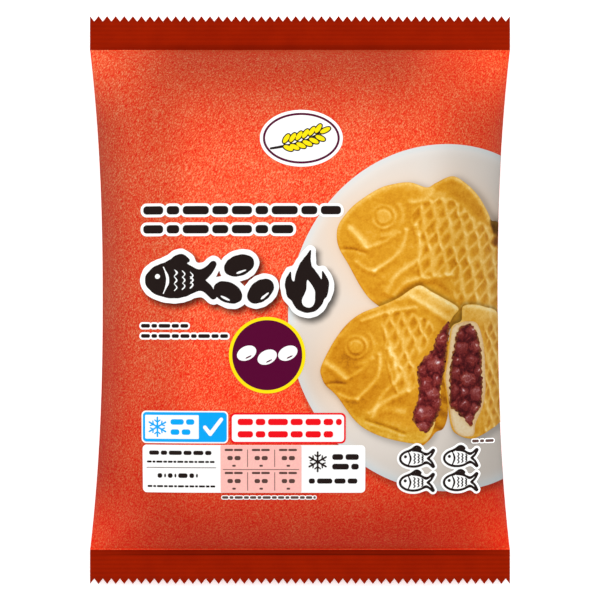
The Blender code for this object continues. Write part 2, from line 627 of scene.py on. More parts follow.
# Each ink's material, and the slot of the frame that it fills
INKS = {"fibre": (fibre_film("fibre_film"), "printed_film"),
        "pink": (fibre_film("pink_veil", 0.62), "spot_ink"),
        "seal": (seal_film(), "seal_film"),
        "china": (plate_ink(), "white_ink"),
        "crust": (crust_ink(), "pastry_ink"),
        "crumb": (crumb_ink(), "pastry_ink"),
        "paste": (paste_ink(), "pastry_ink"),
        "white": (flat_ink("white_ink", 252, 252, 251), "white_ink"),
        "black": (flat_ink("black_ink", 36, 26, 24), "dark_ink"),
        "brown": (flat_ink("brown_ink", 92, 66, 60), "dark_ink"),
        "yellow": (flat_ink("yellow_ink", 253, 226, 10), "spot_ink"),
        "maroon": (flat_ink("maroon_ink", 88, 0, 50), "spot_ink"),
        "blue": (flat_ink("blue_ink", 0, 166, 244), "spot_ink"),
        "red": (flat_ink("red_ink", 240, 10, 24), "spot_ink")}


# ---------------------------------------------------------------- the film and its seams

def build_film(name, side, columns, rows):
    turn, along = np.meshgrid(np.linspace(-1, 1, columns), np.linspace(-1, 1, rows))
    points = surface(side, turn, along).reshape(-1, 3)
    faces = grid_faces(rows, columns)[:, ::side]
    # The film's painted edge shade, times the printed shadow of the plate on the front
    tone = edge_tone(side, turn, along)
    if side > 0:
        tone = tone * plate_shadow(*print_place(turn, along))
    make_piece(name, points, faces.tolist(), "fibre", tone=tone.ravel())


def rib_wave(depth):
    """The height of the pressed ribs at a depth into the seal from its inner edge."""
    place = (depth - RIB_START) / RIB_PITCH
    wave = 0.5 - 0.5 * np.cos(2 * np.pi * place)
    return RIB_HEIGHT * np.where((place > 0) & (place < RIB_COUNT), wave, 0)


def build_seal(name, end):
    """A ribbed end seal with a zigzag cut edge; end is -1 or 1."""
    columns = 2 * TOOTH_COUNT + 1
    length = SEAL_LENGTH - TOOTH_DEPTH * (np.arange(columns) % 2)
    straight = 0.99 * (SEAL_LENGTH - TOOTH_DEPTH) * SEAL_ROWS / (SEAL_ROWS - 1)
    share = np.linspace(0, 1, SEAL_ROWS)[:, None]
    depth = np.minimum(np.where(share < 1, share * straight, length), length)
    y = end * (BODY_HALF + depth)
    x = np.broadcast_to(np.linspace(-FLAT_HALF, FLAT_HALF, columns), y.shape)
    height = SEAL_PLANE + rib_wave(depth) + flutter(x, y)
    front, back = [np.stack([x, y, height + lift], axis=-1).reshape(-1, 3)
                   for lift in (SEAL_HALF_THICKNESS, -SEAL_HALF_THICKNESS)]
    faces = grid_faces(SEAL_ROWS, columns)
    index = np.arange(y.size).reshape(y.shape)
    rim = np.array([*index[0], *index[1:, -1], *index[-1, -2::-1], *index[-2:0:-1, 0]])
    after = np.roll(rim, -1)
    walls = np.stack([after, rim, rim + y.size, after + y.size], axis=1)
    every = np.concatenate([faces, faces[:, ::-1] + y.size, walls])[:, ::end]
    # Painted shade: darker in the grooves between the ribs, and in a strip along the seal's inner
    # edge that is deepest in the middle of its width, and on the bottom seal also along a crease in
    # that strip.
    groove_shade = 1 - 0.1 * (1 - rib_wave(depth) / RIB_HEIGHT) ** 3
    middle = 1 - np.abs(x / FLAT_HALF) ** 4
    shaded_strip = 1 - smooth_step(depth, SEAL_SHADE_STRIP, SEAL_SHADE_STRIP + 0.5 * MM)
    if end < 0:
        crease_shade = ridge(depth - 2.0 * MM, 0.35 * MM)
        shade = shaded_strip * (0.36 + 0.24 * crease_shade) * (0.1 + 0.9 * middle)
    else:
        shade = 0.26 * shaded_strip * middle
    tone = np.tile((groove_shade * (1 - shade)).ravel(), 2)
    seal = make_piece(name, np.concatenate([front, back]), every.tolist(), "seal", tone=tone)
    seal.data.set_sharp_from_angle(angle=math.radians(50))


def build_back_seam():
    """The seam that closes the tube, folded flat on the middle of the back."""
    columns, rows = 25, 220
    x, along = np.meshgrid(np.linspace(-FIN_HALF, FIN_HALF, columns), np.linspace(-1, 1, rows))
    film = surface(-1, np.arcsin(x / half_width(along)) * 2 / np.pi, along)
    share = np.abs(x) / FIN_HALF
    ribs = FIN_RIB * np.sin(7 * np.pi * x / FIN_HALF) * (1 - share ** 4)
    film[..., 2] -= FIN_RIB + FIN_THICKNESS * (1 - share ** 14) + ribs
    film[..., 2] = np.maximum(film[..., 2], 0.05 * MM)
    faces = grid_faces(rows, columns)[:, ::-1]
    make_piece("back_seam", film.reshape(-1, 3), faces.tolist(), "seal", tone=0.95)


# ---------------------------------------------------------------- plain printed signs

def fish_sign(x, y, cx, cy, size, detail=True):
    """A plain fish that swims to the left; size is half its length."""
    u = (x - cx) / size
    v = (y - cy) / size
    upper, lower = [stroke(u, v, [(0.4, 0.02 * up, 0.16), (0.7, 0.2 * up, 0.14),
                                  (0.9, 0.44 * up, 0.09)]) for up in (1, -1)]
    fin = stroke(u, v, [(-0.3, 0.42, 0.1), (-0.02, 0.6, 0.12), (0.2, 0.55, 0.05)])
    tail = union(upper, lower)
    shape = melt(melt(ellipse(u, v, -0.2, 0, 0.78, 0.5), tail, 0.2), fin, 0.12)
    if detail:
        eye = disc(u, v, -0.64, 0.1, 0.07)
        gill = stroke(u, v, [(-0.47, 0.36, 0.015), (-0.35, 0, 0.04), (-0.47, -0.36, 0.015)])
        scales = []
        for column in range(3):
            for row in range(-1, 2):
                mid_x = -0.12 + 0.22 * column
                mid_y = 0.2 * row * (1 - 0.18 * column)
                scales.append(stroke(u, v, [(mid_x - 0.05, mid_y + 0.09, 0.012),
                                            (mid_x + 0.02, mid_y, 0.022),
                                            (mid_x - 0.05, mid_y - 0.09, 0.012)]))
        shape = cut(shape, eye, gill, *scales)
    return shape * size


def bean_sign(x, y, cx, cy, size, angle, detail=True):
    bean = ellipse(x, y, cx, cy, size, 0.68 * size, angle)
    if not detail:
        return bean
    notch_x = cx + 0.42 * size * math.sin(angle)
    notch_y = cy - 0.42 * size * math.cos(angle)
    return cut(bean, ellipse(x, y, notch_x, notch_y, 0.34 * size, 0.07 * size, angle))


def flame_sign(x, y, cx, cy, size, detail=True):
    u = (x - cx) / size
    v = (y - cy) / size
    main = stroke(u, v, [(0.02, -0.42, 0.5), (0.02, 0.0, 0.42), (-0.06, 0.45, 0.22),
                         (0.1, 1.0, 0.02)])
    left = stroke(u, v, [(-0.42, -0.3, 0.22), (-0.56, 0.02, 0.12), (-0.52, 0.34, 0.02)])
    right = stroke(u, v, [(0.44, -0.3, 0.2), (0.56, 0.0, 0.12), (0.48, 0.36, 0.02)])
    shape = melt(melt(main, left, 0.08), right, 0.08)
    if detail:
        shape = cut(shape, stroke(u, v, [(0.04, -0.56, 0.2), (0.1, -0.25, 0.14),
                                         (0.02, 0.08, 0.02)]))
    return shape * size


def frost_sign(x, y, cx, cy, size):
    """A snow crystal with six arms, each with two twigs."""
    strokes = []
    for arm in range(6):
        tip = cmath.rect(size, math.pi / 6 + arm * math.pi / 3)
        twigs = [(tip / 2, tip / 2 + tip * cmath.rect(0.36, turn), 0.07) for turn in (-0.9, 0.9)]
        for start, end, width in [(0, tip, 0.09), *twigs]:
            strokes.append(stroke(x, y, [(cx + point.real, cy + point.imag, width * size)
                                         for point in (start, end)], 1))
    return union(*strokes)


def title_signs(x, y, detail=True):
    """The three large signs where a title would be: a fish, beans and a flame."""
    wobble = 0.12 * np.sin(0.9 * x + 1.3 * np.sin(0.7 * y)) * np.sin(0.8 * y + 0.5 * x)
    return wobble + union(fish_sign(x, y, -54.0, 9.0, 16.5, detail),
                          bean_sign(x, y, -27.5, 15.6, 7.0, 0.35, detail),
                          bean_sign(x, y, -32.5, 3.4, 6.8, -0.45, detail),
                          bean_sign(x, y, -17.8, 4.0, 6.8, 0.7, detail),
                          flame_sign(x, y, 3.2, 7.6, 14.6, detail))


TITLE_REGION = (-76, 24, -13, 30)
TITLE_OUTLINE = 2.3


def shadow_reach(x, y):
    """How far outside the title's outline a point is, once that has moved down and right."""
    return title_signs(x - 1.5, y + 1.8, detail=False) - TITLE_OUTLINE


def title_shadow(x, y):
    """The soft shadow that the title throws, as a factor."""
    return 1 - 0.84 * (1 - smooth_step(shadow_reach(x, y), -1.8, 2.4))


def plate_field(x, y):
    return ellipse(x, y, 67.6, -8.1, 73.0, 78.9)


def plate_shadow(x, y):
    reach = ellipse(x, y, 67.6, -10.6, 72.0, 78.5)
    return 1 - 0.4 * (1 - smooth_step(reach, -1.5, 2.6))


def build_fold_highlight():
    """A painted highlight: the lit fold where the film meets the bottom seal, drawn as a brighter
    line of film.
    """
    last = -0.998 * BODY_HALF / PRINT_SCALE
    ink("fold_highlight", lambda x, y: np.abs(y - last) - 0.5, (-95, 95, last, last + 1), 1, "fibre",
        shadow=lambda x, y: 1.2 + 0.85 * (1 - np.abs(x * PRINT_SCALE / FLAT_HALF) ** 4))


def build_title():
    ink("title_shadow", lambda x, y: shadow_reach(x, y) - 2.4, TITLE_REGION, 1, "fibre", 0.6,
        shadow=lambda x, y: title_shadow(x, y) * plate_shadow(x, y))
    ink("title_outline", lambda x, y: title_signs(x, y, False) - TITLE_OUTLINE,
        TITLE_REGION, 6, "white", 0.35)
    ink("title_signs", title_signs, TITLE_REGION, 7, "black", 0.26)


def outlined_words(name, region, tint, margin, step, *lines):
    """Lines of dark bars with a white margin."""
    bars = text(*lines)
    ink(name + "_margin", lambda x, y: bars(x, y) - margin, region, 6, "white", step)
    ink(name, bars, region, 7, tint, step)


def build_words():
    outlined_words("tagline", (-75, 24, 27, 46), "black", 1.25, 0.34,
                   (-71.0, 20.0, 40.6, 3.8), (-71.0, -3.0, 32.0, 3.8))
    outlined_words("subtitle", (-74, -30, -19, -9), "black", 0.8, 0.2,
                   (-72, -50.5, -11.7, 1.7), (-72, -32.5, -16.3, 1.7))
    outlined_words("footnote", (-38, 9, -92, -87), "brown", 0.4, 0.2, (-35.4, 7.2, -89.6, 1.2))
    outlined_words("serving_note", (76, 91, -67, -61), "brown", 0.5, 0.2,
                   (78.2, 88.4, -64.2, 1.3))


def build_emblem():
    """A plain badge: a white oval with a fine ring and an ear of grain."""
    def oval(x, y):
        return ellipse(x, y, 0.6, 73.3, 18.8, 13.0)

    def grains(x, y):
        parts = [ellipse(x, y, 11.4, 76.9, 2.5, 1.0, 0.45)]
        for pair in range(6):
            stem_x = -7.6 + 2.9 * pair
            stem_y = 70.2 + 4.6 * (pair / 5) ** 1.4
            for angle in (-0.42, 0.98):
                parts.append(ellipse(x, y, stem_x + 2.5 * math.cos(angle),
                                     stem_y + 3.5 * math.sin(angle), 2.3, 1.0, angle))
        return union(*parts)

    def ear(x, y):
        stem = stroke(x, y, [(-13.2, 68.6, 0.5), (-7.5, 69.6, 0.6), (1, 71.6, 0.5),
                             (9.6, 76.0, 0.3)])
        return union(grains(x, y) - 0.5, stem)

    region = (-20, 21, 58, 88)
    ink("emblem_oval", oval, region, 2, "white")
    ink("emblem_ring", lambda x, y: np.abs(oval(x, y) + 1.9) - 0.5, region, 3, "maroon", 0.22)
    ink("emblem_ear", ear, region, 3, "black", 0.22)
    ink("emblem_grains", grains, region, 4, "yellow", 0.22)


def build_flavour_disc():
    """A dark disc with a bright ring and three pale beans."""
    cx, cy = -14.8, -24.9

    def beans(x, y):
        return union(*[bean_sign(x, y, cx + across, cy + up, 4.6, 0.45)
                       for across, up in ((-9.3, 0.9), (0, -0.9), (9.3, 0.9))])

    region = (cx - 18, cx + 18, cy - 18, cy + 18)
    ink("flavour_ring", lambda x, y: disc(x, y, cx, cy, 17.3), region, 8, "yellow")
    ink("flavour_disc", lambda x, y: disc(x, y, cx, cy, 15.8), region, 9, "maroon")
    ink("flavour_beans", beans, region, 10, "white", 0.22)


def build_thaw_badge():
    """A blue badge: frost and bars on white, and a tick beside them."""
    region = (-73, -31, -67, -48)
    bars = text((-58.6, -47.6, -55.2, 2.5), (-58.6, -49.6, -59.8, 2.5, (1.6, 2.6)))
    ink("thaw_edge", box((-71.9, -32.5), (-64.9, -50.2), 2.0), region, 2, "white", 0.45)
    ink("thaw_badge", box((-71.3, -33.1), (-64.3, -50.8), 1.6), region, 3, "blue")
    ink("thaw_panel", box((-70.2, -45.8), (-62.9, -52.1), 0.3), region, 4, "white", 0.3)
    ink("thaw_bars", lambda x, y: union(frost_sign(x, y, -64.6, -57.5, 4.3), bars(x, y)), region,
        5, "blue", 0.18)
    ink("thaw_tick", lambda x, y: stroke(x, y, [(-43.0, -57.6, 0.85), (-40.6, -60.6, 0.9),
                                                (-35.6, -54.0, 0.85)], 1),
        region, 5, "white", 0.18)


def build_heating_panel():
    """A white panel with a red border and two lines of red bars."""
    region = (-33, 22, -67, -49)
    ink("heating_border", box((-31.6, 20.7), (-64.9, -51.0), 2.2), region, 7, "red")
    ink("heating_panel", box((-30.8, 19.9), (-64.1, -51.8), 1.6), region, 8, "white")
    ink("heating_bars", text((-28.2, 18.9, -55.1, 2.9), (-28.2, 15.6, -60.7, 2.9)), region, 9,
        "red", 0.22)


def build_info_panel():
    """The white panel: notes at the left, a pink table, and the storage sign at the right."""
    region = (-73, 31, -89, -64)
    bars = text((-68.4, -40.0, -69.2, 1.9), (-69.4, -38.6, -73.3, 0.9),
                (-64.6, -44.4, -79.6, 2.1, (1.0, 0.4, 1.0, 0.4, 2.0)), (-69.2, -38.4, -84.5, 0.9),
                (14.6, 26.6, -71.0, 2.6, (1.9, 2.9)), (14.6, 26.6, -75.4, 2.6, (2.9, 1.9)),
                (4.0, 27.0, -82.0, 2.3, (1.2, 3.0, 2.2, 1.9)))
    cell = ((4.2, 3.6, 1.0, (3.8, 3.9)), (3.0, -0.1, 1.9, (1.3, 1.5)), (0.8, -3.6, 0.9, (1.8,)))
    figures = text(*[(column - half, column + half, row + up, height, rhythm)
                     for column in (-29.9, -17.6, -5.3) for row in (-71.4, -81.9)
                     for half, up, height, rhythm in cell])
    rules = [box((middle - 0.15, middle + 0.15), y_range) for middle in (-23.75, -11.45)
             for y_range in ((-75.6, -67.6), (-86.4, -78.0))]
    lines = together(box((-69.6, -38.0), (-76.1, -75.8)), box((-35.0, -0.4), (-76.9, -76.6)),
                     *rules)
    ink("info_panel", box((-71.4, 29.6), (-87.4, -65.6), 1.9), region, 7, "white", 0.6)
    ink("info_table", box((-36.0, 0.7), (-87.3, -65.7)), region, 8, "pink", 0.6)
    ink("info_notes", lambda x, y: union(bars(x, y), frost_sign(x, y, 8.0, -73.2, 4.4)), region,
        9, "black", 0.2)
    ink("info_figures", figures, region, 9, "brown", 0.2)
    ink("info_lines", lines, region, 9, "brown", 0.12)


def build_count():
    """Four small fish, for the four pastries inside."""
    region = (40, 86, -91, -64)

    def shoal(x, y, detail=False):
        return union(*[fish_sign(x, y, cx, cy, 8.2, detail)
                       for cy in (-71.8, -82.8) for cx in (53.0, 73.0)])

    def drawn(x, y):
        """Each fish as a dark outline, with its eye, gill and scales inside."""
        body = shoal(x, y)
        marks = cut(body, shoal(x, y, True))
        return union(np.abs(body + 0.45) - 0.5, marks - 0.12)

    ink("count_margin", lambda x, y: shoal(x, y) - 1.1, region, 6, "white", 0.3)
    ink("count_fish", drawn, region, 7, "black", 0.18)


def build_back_print():
    """Plain panels of bars and a pink table, on both sides of the back's seam."""
    left, right = (-74, -12), (12, 74)
    upper, lower = (-4, 76), (-82, -12)
    rows = [lower[1] - 7 - 7.6 * row for row in range(8)]
    notes = text(*[(left[0] + 4, left[1] - 4 - 6 * (row % 4 == 3), upper[1] - 7 - 5 * row, 1.7)
                   for row in range(14)],
                 *[(right[0] + 16, right[1] - 4, upper[1] - 14 - 22 * row, 2.4)
                   for row in range(3)])
    figures = text(*[(*x_range, row, 2.0) for row in rows
                     for x_range in ((left[0] + 4, left[0] + 34), (left[1] - 16, left[1] - 4))])
    lines = [box((left[0] + 3, left[1] - 3), (row - 4, row - 3.6)) for row in rows]
    address = text(*[(right[0] + 4, right[1] - 4 - 9 * (row % 3), -19 - 7 * row, 2.0)
                     for row in range(9)])

    def marks(x, y):
        return union(frost_sign(x, y, 19.5, 62, 5.0), bean_sign(x, y, 19.5, 40, 5.0, 0.4),
                     fish_sign(x, y, 20.0, 18, 6.0))

    def back(name, field, region, layer, tint, step):
        """Print on the back, drawn as it is seen from behind."""
        left_edge, right_edge, low_edge, high_edge = region
        ink(name, lambda x, y: field(-x, y), (-right_edge, -left_edge, low_edge, high_edge), layer,
            tint, step, side=-1)

    def panel(name, x_range, y_range, tint="white"):
        region = (x_range[0] - 1, x_range[1] + 1, y_range[0] - 1, y_range[1] + 1)
        back(name, box(x_range, y_range, 3.0), region, 1, tint, 1.2)

    panel("back_notes_panel", left, upper)
    panel("back_steps_panel", right, upper)
    panel("back_table_panel", left, lower, "pink")
    panel("back_address_panel", right, lower)
    back("back_notes", notes, (-75, 75, -5, 77), 2, "black", 0.4)
    back("back_marks", marks, (12, 28, 8, 70), 2, "red", 0.25)
    back("back_table", together(figures, *lines), (-75, -11, -83, -11), 2, "brown", 0.38)
    back("back_address", address, (11, 75, -83, -11), 2, "black", 0.4)


# ---------------------------------------------------------------- the pictured plate and pastries
#
# The mould's relief, in millimetres, is lit from the top of the print, and colour ramps turn
# the result into baked tones.

LIGHT_X, LIGHT_Y = 0.42, 0.91
WHOLE_EYE = (37.7, 37.5)
CUT_EYE = (25.2, -21.3)
CUT_ANGLE = 0.2
CUT_SCALE = 0.95
SCALE_WIDTH = 5.8
SCALE_LENGTH = 6.95

WHOLE_OUTLINE = [
    (16.6, 27.8), (17.2, 33.4), (20.3, 38.4), (25.5, 43.8), (35.3, 50.2), (42.6, 52.5),
    (50.0, 53.2), (57.4, 51.0), (61.8, 53.2), (69.1, 56.2), (75.4, 53.0), (81.2, 47.4),
    (85.6, 40.2), (87.5, 36.4), (90.5, 35.8), (96, 30), (98, 0), (92, -12), (68, -16), (56, -12),
    (45, -8), (33.8, -1.5), (28.0, 5.0), (21.9, 15.9), (18.0, 22.6)]
TAIL_GAP = [
    (87.2, 37.5), (88.2, 31.0), (88.6, 28.4), (87.0, 26.0), (89.8, 24.2), (97, 23), (97, 37)]
CUT_OUTLINE = [
    (9.2, -31.4), (11.2, -26.2), (15.7, -18.0), (21.3, -10.8), (28.0, -5.8), (37.5, -2.2),
    (44.7, 1.1), (50.4, 5.0), (54.6, 6.6), (59.3, 3.9), (65.0, 0.8), (71.8, -3.6), (69.3, -7.6),
    (66.7, -13.0), (64.6, -20.0), (63.8, -42.0), (61.5, -54.3), (59.0, -61.5), (54.8, -65.0),
    (44.7, -63.9), (33.6, -60.5), (25.2, -54.9), (16.8, -43.6), (11.7, -38.7), (9.9, -35.3)]
SHELL_OUTLINE = [
    (62, -18), (66.8, -16), (67.4, -30), (66.9, -44), (66.9, -52.7), (64.9, -58.3), (61.6, -59.9),
    (58.2, -63.9), (54.8, -65.0), (56, -50), (60, -34)]
HALF_OUTLINE = [
    (73.9, -2.9), (78.4, -2.0), (84.0, -3.1), (91.3, -7.3), (96, -30), (95.5, -51), (90.6, -56.7),
    (87.3, -58.9), (82.2, -61.8), (77.4, -63.1), (71.6, -61.2), (68.4, -57.2), (66.3, -43.2),
    (65.2, -34.7), (66.6, -26.4), (67.5, -17.4), (68.9, -11.8), (72.9, -9.6), (73.4, -6.7)]
LEFT_PASTE = [
    (67.0, -9.6), (62.1, -16.3), (60.2, -21.9), (56.0, -26.4), (53.2, -30.9), (53.5, -37.5),
    (53.2, -44.8), (50.9, -51.0), (52.0, -56.0), (57.0, -60.4), (61.2, -54.3), (63.8, -48.0),
    (63.6, -42.0), (65.2, -33.0), (66.0, -26.0), (67.1, -17.0)]
CRUMB_OUTLINE = [
    (69.4, -12.0), (72.9, -10.3), (76.5, -9.6), (80.4, -10.8), (82.8, -17.0), (84.0, -25.0),
    (84.2, -33.0), (84.4, -41.0), (83.0, -48.8), (79.8, -56.0), (78.8, -61.4), (74.6, -62.2),
    (69.6, -58.0), (66.9, -43.2), (65.9, -34.7), (67.2, -26.4), (68.2, -17.4)]
RIGHT_PASTE = [
    (71.6, -13.5), (75.6, -10.9), (78.9, -12.4), (81.2, -18.0), (82.4, -25.0), (82.6, -33.0),
    (83.1, -41.0), (81.7, -48.8), (78.9, -54.3), (77.6, -57.4), (73.9, -53.8), (70.5, -50.4),
    (67.7, -47.6), (67.6, -40.3), (68.3, -29.1), (69.9, -21.0)]

# Beans of the paste: middle and half sizes
LEFT_BEANS = [
    (64.9, -12.4, 2.4, 2.7), (63.6, -18.0, 3.2, 3.6), (58.0, -26.2, 3.0, 2.4),
    (61.2, -29.2, 4.0, 3.5), (55.4, -32.2, 2.2, 3.0), (57.2, -38.4, 3.2, 3.9),
    (61.6, -36.4, 2.0, 3.2), (60.0, -42.4, 3.2, 3.0), (54.4, -45.6, 2.4, 2.6),
    (62.0, -47.4, 2.4, 4.0), (56.4, -51.4, 5.0, 3.8), (55.2, -57.4, 3.0, 2.4)]
RIGHT_BEANS = [
    (72.7, -16.0, 2.0, 2.4), (77.8, -14.0, 3.0, 2.4), (73.3, -21.9, 3.2, 3.1),
    (79.7, -21.2, 2.8, 2.6), (77.8, -27.6, 3.4, 3.0), (71.4, -27.6, 2.2, 2.2),
    (70.6, -33.4, 1.9, 3.2), (76.0, -35.9, 3.9, 3.3), (80.9, -32.6, 1.9, 3.2),
    (70.2, -41.0, 2.0, 3.0), (74.6, -41.6, 2.4, 2.1), (79.9, -42.6, 2.8, 3.4),
    (74.7, -47.9, 3.2, 2.9), (70.2, -47.6, 1.8, 2.0), (79.2, -49.4, 2.2, 2.4),
    (76.8, -54.4, 2.3, 2.8)]


def spot(x, y, cx, cy, half_x, half_y):
    """A soft round spot, 1 in its middle."""
    return ridge(np.hypot((x - cx) / half_x, (y - cy) / half_y), 1.0)


def ridges(x, y, *rows):
    """The sum of soft ridges, each a height, a width and the points that it runs through."""
    relief = 0
    for height, width, *points in rows:
        route = stroke(x, y, [(*point, 0.0) for point in points], 4)
        relief = relief + height * ridge(route, width)
    return relief


def turned(x, y, middle, angle, scale):
    """Millimetres of the mould, from its eye, for a pastry turned by an angle."""
    right = (x - middle[0]) / scale
    up = (y - middle[1]) / scale
    cos, sin = math.cos(angle), math.sin(angle)
    return right * cos + up * sin, up * cos - right * sin


def fish_face(u, v):
    """The mould's eye, lips and gills."""
    away = np.hypot(u, v)
    behind = smooth_step(u - 0.5 * v, 0, 6)
    eye = ridge(np.maximum(away - 2.5, 0), 0.9)
    socket = 0.9 * ridge(away - 5.1, 0.8) * (0.45 + 0.55 * behind)
    cheek = 0.8 * behind * ridge(away - 8.6, 1.2)
    return eye + socket + cheek + ridges(
        u, v, (2.0, 1.8, (-15.0, -5.6), (-11.6, -9.2), (-8.3, -13.7)),
        (-0.9, 0.9, (-19.5, -14.4), (-14.0, -14.6), (-8.6, -15.8)),
        (0.9, 1.1, (-7.6, -14.0), (0.0, -11.6), (6.8, -7.2)),
        (1.7, 1.1, (10.2, -6.0), (8.6, -12.8), (5.0, -18.4), (-4.2, -24.6)),
        (0.9, 1.1, (-4.2, -24.6), (-8.5, -23.4), (-12.2, -20.6)),
        (1.7, 1.3, (14.8, -4.0), (16.4, -12.8), (15.4, -19.5), (10.2, -23.4), (4.9, -28.0),
         (1.4, -34.0)))


def scale_ridges(u, v, lean=0.22, rise=1.2):
    """The net of raised lines between the mould's scales, 0 in the hollows."""
    across = (u + lean * v) / SCALE_WIDTH + 0.07 * np.sin(0.37 * v + 0.2 * u)
    across = across + 0.04 * np.sin(0.9 * v)
    up = (v - rise * u) / SCALE_LENGTH + 0.05 * np.sin(0.6 * u + 1.0)
    up = up + 0.04 * np.sin(0.8 * v - u)
    from_across = np.abs(across - np.round(across)) * SCALE_WIDTH / math.hypot(1, lean)
    from_up = np.abs(up - np.round(up)) * SCALE_LENGTH / math.hypot(1, rise)
    width = 1.2 + 0.35 * np.sin(0.31 * u + 0.5) * np.sin(0.27 * v + 1.0)
    return 1 - (1 - ridge(from_across, width)) * (1 - 0.9 * ridge(from_up, 0.9 * width))


def inside(x, y, outline, soft=1.0):
    """1 inside an outline and 0 outside it, with a soft border."""
    return 1 - smooth_step(blob(x, y, outline, 4), -soft, soft)


def whole_relief(x, y):
    u, v = turned(x, y, WHOLE_EYE, 0, 1)
    scales = inside(u, v, [(12.5, -2), (18, 6), (30, 8.6), (40, 0.4), (52, -8), (64, -30),
                           (50, -52), (34, -40), (30, -27), (17, -27.5), (14, -24),
                           (17.6, -14)])
    fin = inside(u, v, [(19, 12), (31, 17), (42, 9), (50, -4), (44, -2), (38, 4), (30, 9.5)],
                 2.0)
    relief = fish_face(u, v) + scales * (2.0 * scale_ridges(u, v) - 0.75) - 0.9 * fin
    return relief + ridges(u, v, (1.1, 1.2, (12, 6.5), (18.6, 7.6), (22.5, 12.0)),
                           (1.2, 1.2, (5, -35.5), (11, -29.5), (22, -27.4), (31, -26.2)),
                           (-0.8, 1.6, (7, -36.5), (14, -31.5), (24, -30.5), (29, -34)))


def cut_relief(x, y):
    u, v = turned(x, y, CUT_EYE, CUT_ANGLE, CUT_SCALE)
    scales = inside(x, y, [(37, -8), (43, -5.5), (52, -7), (60, -12), (57, -22), (52, -28),
                           (51.5, -40), (44, -42), (40.5, -34), (38.6, -24)])
    relief = fish_face(u, v) + scales * (1.9 * scale_ridges(u + 2.0, v) - 0.75)
    return relief + ridges(x, y, (1.2, 1.1, (28, -9.5), (36, -6.6), (42.5, -5.0), (52, -3.6)),
                           (-0.9, 1.3, (18, -14.5), (26, -9), (35, -5), (43, -1.5)),
                           (1.4, 1.6, (50.5, 1.0), (57.5, -3.2), (65.5, -8.5)),
                           (1.5, 1.3, (31.5, -51.5), (39, -46), (48.4, -41.6)),
                           (-1.0, 1.0, (30, -54.5), (38, -57), (47, -60.5)),
                           (0.8, 1.8, (34, -51), (41, -50), (47, -51)))


def half_relief(x, y):
    crust = smooth_step(x, 82.0, 85.5)
    top = smooth_step(y, -14, -9)
    scales = 2.0 * scale_ridges(1.35 * (x - 82.5), y + 31, 0.5, 1.3) - 1.0
    return crust * (1 - 0.7 * top) * scales


def baked(x, y, details, outline, level, bake):
    """How light a pastry looks, and how brown its crust is baked, as named values."""
    def relief(x, y):
        depth = np.clip(-blob(x, y, outline, 4), 0, None)
        return details(x, y) + 1.9 * (1 - np.exp(-depth / 1.9))

    step = 0.3
    slope = (relief(x, y) - relief(x + step * LIGHT_X, y + step * LIGHT_Y)) / step
    rim = 0.15 * ridge(blob(x, y, outline, 4) + 0.8, 1.0)
    light = level + 0.13 * details(x, y) + 0.21 * np.tanh(1.3 * slope) + rim
    return {"light": light, "bake": bake}


def paste_values(x, y, outline, beans):
    """Beans as wet domes in a lumpy paste, and how crumbly it is, as named values."""
    lumps = np.sin(1.7 * x + 1.3 * np.sin(0.9 * y)) * np.sin(1.5 * y + 1.1 * np.sin(1.2 * x))
    light = 0.24 + 0.1 * lumps + 0.2 * ridge(lumps - 0.9, 0.12)
    warp_x = 0.35 * np.sin(1.4 * y + 0.6 * x)
    warp_y = 0.35 * np.sin(1.6 * x - 0.5 * y)
    for count, (cx, cy, half_x, half_y) in enumerate(beans):
        u = (x + warp_x - cx) / half_x
        v = (y + warp_y - cy) / half_y
        rise = np.sqrt(np.clip(1 - u * u - v * v, 0, None))
        swing = 0.35 * math.sin(2.4 * count)
        shine = ridge(np.hypot((u - swing) * 0.8, v - 0.34 - 0.5 * (u - swing)), 0.2)
        fold = ridge(v + 0.3 - 0.6 * u * u, 0.1) * (count % 3 == 1)
        gleam = 0.12 + 0.3 * math.sin(1.7 * count) ** 2
        skin = 0.12 + 0.34 * rise + 0.14 * v * rise + 0.05 * (count % 4) + gleam * shine
        skin = skin + 0.18 * fold * rise
        light = np.where(rise > 0.02, np.maximum(light * (rise < 0.45), skin), light)
    depth = np.clip(0.3 - blob(x, y, outline, 4), 0, 4)
    return {"light": light, "bake": 0.8 * ridge(depth, 0.9)}


def plate_tone(x, y):
    """The plate's printed shade: greyer at the right, darker under the pastries and the title, with
    a painted lift at its top right.
    """
    under = union(blob(x - 2.0, y + 0.9, WHOLE_OUTLINE, 3), blob(x - 1.4, y + 1.3, CUT_OUTLINE, 3),
                  blob(x - 1.2, y + 1.3, HALF_OUTLINE, 3))
    tone = 0.98 * (1 - 0.03 * smooth_step(-y, 44, 70)) * (1 - 0.14 * spot(x, y, 2, -36, 12, 22))
    # A painted lift at the top right, which offsets the film's painted side shade there
    tone = tone * (1 + 0.06 * smooth_step(x, 60, 80) * smooth_step(y, 20, 45))
    tone = tone * (1 - 0.5 * spot(x, y, 90.5, 35, 2.4, 4))
    tone = tone * (1 - 0.06 * smooth_step(-plate_field(x, y), 0, 6))
    return tone * (1 - 0.34 * ridge(np.clip(under + 0.6, 0, None), 2.0)) * title_shadow(x, y)


def plate_values(x, y):
    """How near the plate's rim a point is, and how warm the pastries make it."""
    near = np.clip(union(blob(x, y, WHOLE_OUTLINE, 3), blob(x, y, CUT_OUTLINE, 3)), 0, None)
    glow = 0.8 * np.exp(-near / 8) * (1 - smooth_step(-y, 45, 62))
    glow = glow * (1 - 0.3 * smooth_step(y, 40, 58))
    inner = smooth_step(-plate_field(x, y), 0.6, 7)
    warm = inner * (0.2 - 0.18 * smooth_step(y, 30, 55))
    return {"light": 1 - 0.75 * inner, "bake": np.clip(glow + warm, 0, 1)}


